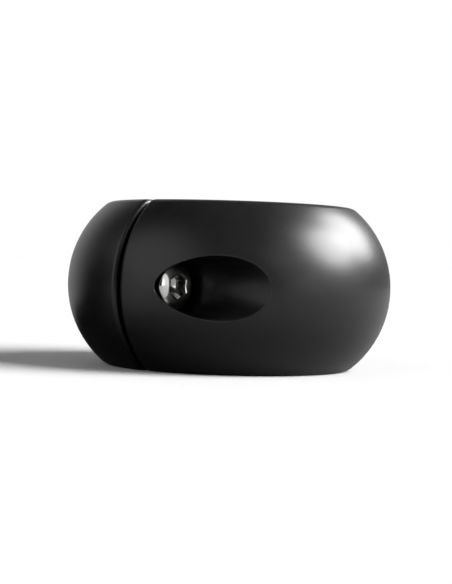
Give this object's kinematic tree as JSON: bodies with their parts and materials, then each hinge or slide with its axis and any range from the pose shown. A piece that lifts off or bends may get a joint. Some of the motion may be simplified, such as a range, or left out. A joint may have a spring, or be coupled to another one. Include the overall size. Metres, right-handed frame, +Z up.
{
  "type": "cord lock",
  "caption": "Barrel-shaped clamping collar in two screwed halves, with soft grips round a central bore that hold a round cord.",
  "frame": {"origin": "centre of the flat base", "axes": "+Z up along the cord; the halves part along Y at y = 0, the front half is on the -Y side and its screw is at -X"},
  "size_m": [0.04, 0.04, 0.02],
  "materials": {
    "shell": "bead-blasted, black anodised, satin",
    "screw": "polished stainless steel",
    "washer": "stainless steel",
    "insert": "stainless steel",
    "dowel": "ground steel",
    "grip": "matt silicone rubber"
  },
  "bodies": {
    "front_half": {"front_shell": "shell", "front_washer": "washer", "front_threaded_insert": "insert", "front_dowel_pin": "dowel", "front_cord_grip": "grip"},
    "back_half": {"back_shell": "shell", "back_washer": "washer", "back_threaded_insert": "insert", "back_dowel_pin": "dowel", "back_cord_grip": "grip"},
    "front_screw": {"front_cap_screw": "screw"},
    "back_screw": {"back_cap_screw": "screw"}
  },
  "joints": [
    {"name": "halves_part", "type": "slide", "parent": "front_half", "child": "back_half", "axis": [0, 1, 0], "range_m": [0, 0.0045]},
    {"name": "front_screw_turn", "type": "hinge", "parent": "front_half", "child": "front_screw", "pos_m": [-0.01555, 0, 0.01], "axis": [0, -1, 0], "range_deg": [0, 3240]},
    {"name": "back_screw_turn", "type": "hinge", "parent": "back_half", "child": "back_screw", "pos_m": [0.01555, 0, 0.01], "axis": [0, 1, 0], "range_deg": [0, 3240]}
  ],
  "couplings": [
    {"joint": "front_screw_turn", "follows": "halves_part", "rad_per_m": 12566},
    {"joint": "back_screw_turn", "follows": "halves_part", "rad_per_m": 12566}
  ]
}
